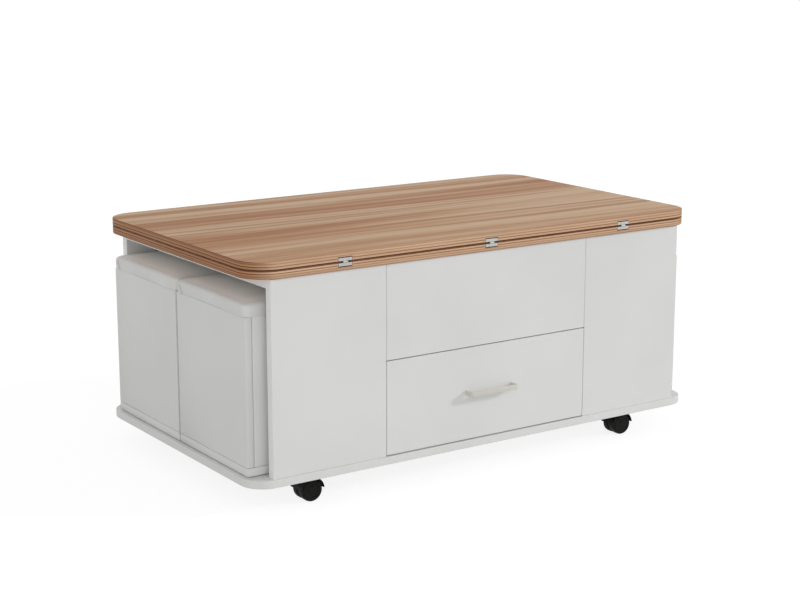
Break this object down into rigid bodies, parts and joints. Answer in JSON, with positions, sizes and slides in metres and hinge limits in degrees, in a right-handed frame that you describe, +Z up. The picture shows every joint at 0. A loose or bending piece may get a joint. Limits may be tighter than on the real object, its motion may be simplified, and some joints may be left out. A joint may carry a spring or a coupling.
{
  "type": "convertible coffee dining table",
  "caption": "Low wood-topped table on casters with a white cabinet, drawer and pull-out padded stools; its top swings up on arms and folds open to dining size.",
  "frame": {"origin": "on the floor, below the middle of the closed table top", "axes": "+X along the table's length, -Y towards the drawer side, +Z up"},
  "size_m": [1.2, 0.72, 0.5332],
  "materials": {
    "white_board": "white satin laminate on board",
    "top_wood": "streaked walnut-tone laminate, satin",
    "lift_steel": "grey powder coat",
    "zinc_steel": "zinc plated",
    "spring_steel": "oiled wire",
    "hinge_metal": "satin nickel",
    "handle_metal": "satin",
    "clear_rubber": "translucent pad",
    "felt": "pressed felt",
    "seat_cover": "white artificial leather",
    "caster_plastic": "moulded black",
    "wheel_plastic": "moulded black"
  },
  "bodies": {
    "cabinet": {"base_board": "white_board", "front_panel_left": "white_board", "front_panel_right": "white_board", "front_panel_upper": "white_board", "back_panel": "white_board", "divider_left": "white_board", "divider_right": "white_board", "compartment_floor": "white_board", "bay_top_left": "white_board", "bay_top_right": "white_board", "top_bumpers": "clear_rubber", "glide_strips": "felt", "drawer_rails": "zinc_steel", "lift_plates": "lift_steel", "lift_shaft": "lift_steel", "lift_rear_pins": "zinc_steel", "lift_springs": "spring_steel", "lift_screws": "zinc_steel", "caster_plates": "zinc_steel", "caster_screws": "zinc_steel"},
    "lift_front": {"lift_arms_front": "lift_steel", "lift_cross_tube": "lift_steel"},
    "lift_rear": {"lift_arms_rear": "lift_steel"},
    "table": {"lower_leaf": "top_wood", "lift_carriers": "lift_steel", "carrier_pins": "zinc_steel", "carrier_screws": "zinc_steel", "fold_hinge_lower": "hinge_metal", "fold_hinge_pins": "hinge_metal"},
    "folding_leaf": {"upper_leaf": "top_wood", "fold_hinge_upper": "hinge_metal"},
    "drawer": {"drawer_front": "white_board", "drawer_sides": "white_board", "drawer_back": "white_board", "drawer_bottom": "white_board", "drawer_slides": "zinc_steel", "drawer_handle": "handle_metal", "handle_screws": "zinc_steel"},
    "stool_front_left": {"stool_front_left_box": "white_board", "stool_front_left_seat_board": "white_board", "stool_front_left_cushion": "seat_cover"},
    "stool_rear_left": {"stool_rear_left_box": "white_board", "stool_rear_left_seat_board": "white_board", "stool_rear_left_cushion": "seat_cover"},
    "stool_front_right": {"stool_front_right_box": "white_board", "stool_front_right_seat_board": "white_board", "stool_front_right_cushion": "seat_cover"},
    "stool_rear_right": {"stool_rear_right_box": "white_board", "stool_rear_right_seat_board": "white_board", "stool_rear_right_cushion": "seat_cover"},
    "caster_front_left_swivel_body": {"caster_front_left_fork": "caster_plastic"},
    "caster_front_left_wheel_body": {"caster_front_left_wheels": "wheel_plastic"},
    "caster_rear_left_swivel_body": {"caster_rear_left_fork": "caster_plastic"},
    "caster_rear_left_wheel_body": {"caster_rear_left_wheels": "wheel_plastic"},
    "caster_front_right_swivel_body": {"caster_front_right_fork": "caster_plastic"},
    "caster_front_right_wheel_body": {"caster_front_right_wheels": "wheel_plastic"},
    "caster_rear_right_swivel_body": {"caster_rear_right_fork": "caster_plastic"},
    "caster_rear_right_wheel_body": {"caster_rear_right_wheels": "wheel_plastic"}
  },
  "joints": [
    {"name": "lift_swing", "type": "hinge", "parent": "cabinet", "child": "lift_front", "pos_m": [0, 0.06, 0.42], "axis": [-1, 0, 0], "range_deg": [0, 100]},
    {"name": "lift_rear_swing", "type": "hinge", "parent": "cabinet", "child": "lift_rear", "pos_m": [0, 0.18, 0.444], "axis": [-1, 0, 0], "range_deg": [0, 100]},
    {"name": "table_level", "type": "hinge", "parent": "lift_front", "child": "table", "pos_m": [0, -0.21114, 0.45185], "axis": [-1, 0, 0], "range_deg": [-100, 0]},
    {"name": "leaf_fold", "type": "hinge", "parent": "table", "child": "folding_leaf", "pos_m": [0, -0.3504, 0.5156], "axis": [1, 0, 0], "range_deg": [0, 180]},
    {"name": "drawer_slide", "type": "slide", "parent": "cabinet", "child": "drawer", "axis": [0, -1, 0], "range_m": [0, 0.38]},
    {"name": "stool_front_left_pull", "type": "slide", "parent": "cabinet", "child": "stool_front_left", "axis": [-1, 0, 0], "range_m": [0, 0.36]},
    {"name": "stool_rear_left_pull", "type": "slide", "parent": "cabinet", "child": "stool_rear_left", "axis": [-1, 0, 0], "range_m": [0, 0.36]},
    {"name": "stool_front_right_pull", "type": "slide", "parent": "cabinet", "child": "stool_front_right", "axis": [1, 0, 0], "range_m": [0, 0.36]},
    {"name": "stool_rear_right_pull", "type": "slide", "parent": "cabinet", "child": "stool_rear_right", "axis": [1, 0, 0], "range_m": [0, 0.36]},
    {"name": "caster_front_left_swivel", "type": "hinge", "parent": "cabinet", "child": "caster_front_left_swivel_body", "pos_m": [-0.431, -0.295, 0.058], "axis": [0, 0, 1], "continuous": true},
    {"name": "caster_front_left_spin", "type": "hinge", "parent": "caster_front_left_swivel_body", "child": "caster_front_left_wheel_body", "pos_m": [-0.44, -0.295, 0.025], "axis": [0, 1, 0], "continuous": true},
    {"name": "caster_rear_left_swivel", "type": "hinge", "parent": "cabinet", "child": "caster_rear_left_swivel_body", "pos_m": [-0.431, 0.295, 0.058], "axis": [0, 0, 1], "continuous": true},
    {"name": "caster_rear_left_spin", "type": "hinge", "parent": "caster_rear_left_swivel_body", "child": "caster_rear_left_wheel_body", "pos_m": [-0.44, 0.295, 0.025], "axis": [0, 1, 0], "continuous": true},
    {"name": "caster_front_right_swivel", "type": "hinge", "parent": "cabinet", "child": "caster_front_right_swivel_body", "pos_m": [0.431, -0.295, 0.058], "axis": [0, 0, 1], "continuous": true},
    {"name": "caster_front_right_spin", "type": "hinge", "parent": "caster_front_right_swivel_body", "child": "caster_front_right_wheel_body", "pos_m": [0.422, -0.295, 0.025], "axis": [0, 1, 0], "continuous": true},
    {"name": "caster_rear_right_swivel", "type": "hinge", "parent": "cabinet", "child": "caster_rear_right_swivel_body", "pos_m": [0.431, 0.295, 0.058], "axis": [0, 0, 1], "continuous": true},
    {"name": "caster_rear_right_spin", "type": "hinge", "parent": "caster_rear_right_swivel_body", "child": "caster_rear_right_wheel_body", "pos_m": [0.422, 0.295, 0.025], "axis": [0, 1, 0], "continuous": true}
  ],
  "couplings": [
    {"joint": "lift_rear_swing", "follows": "lift_swing", "ratio": 1},
    {"joint": "table_level", "follows": "lift_swing", "ratio": -1}
  ]
}
